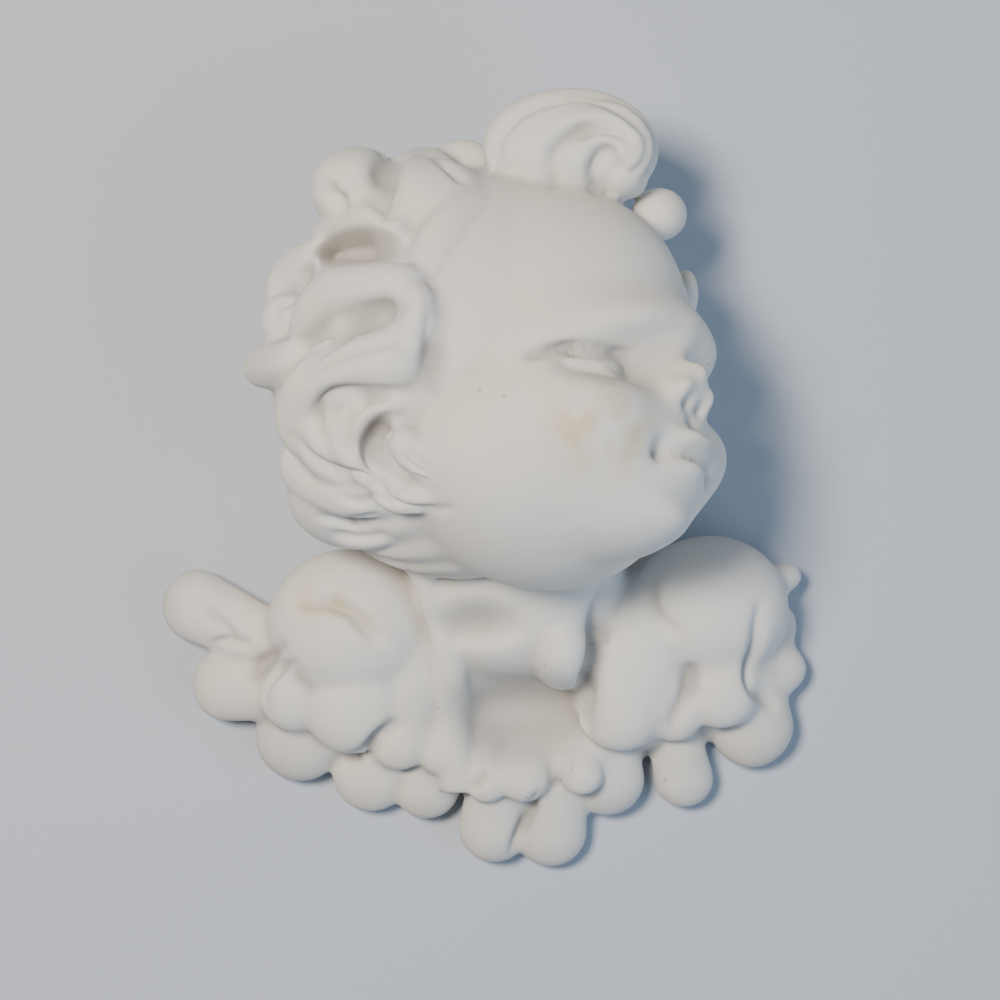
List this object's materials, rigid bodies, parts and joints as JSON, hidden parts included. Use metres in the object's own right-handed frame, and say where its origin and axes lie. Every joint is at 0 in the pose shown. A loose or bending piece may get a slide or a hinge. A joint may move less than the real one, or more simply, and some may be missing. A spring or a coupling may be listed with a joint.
{
  "type": "winged cherub head ornament",
  "caption": "Plaster casting of a winged cherub's head turned to one side, with curled hair, a rolled forelock and a collar of rounded feathers, flat at the back.",
  "frame": {"origin": "on the flat back, below the middle of the collar and head", "axes": "+Z out of the flat back towards the viewer, +Y from the feathers to the forelock, +X to the viewer's right, the way the face is turned"},
  "size_m": [0.0895, 0.1054, 0.0512],
  "materials": {
    "plaster": "matt, unpainted casting plaster"
  },
  "bodies": {
    "root": {"winged_cherub": "plaster"}
  },
  "joints": []
}
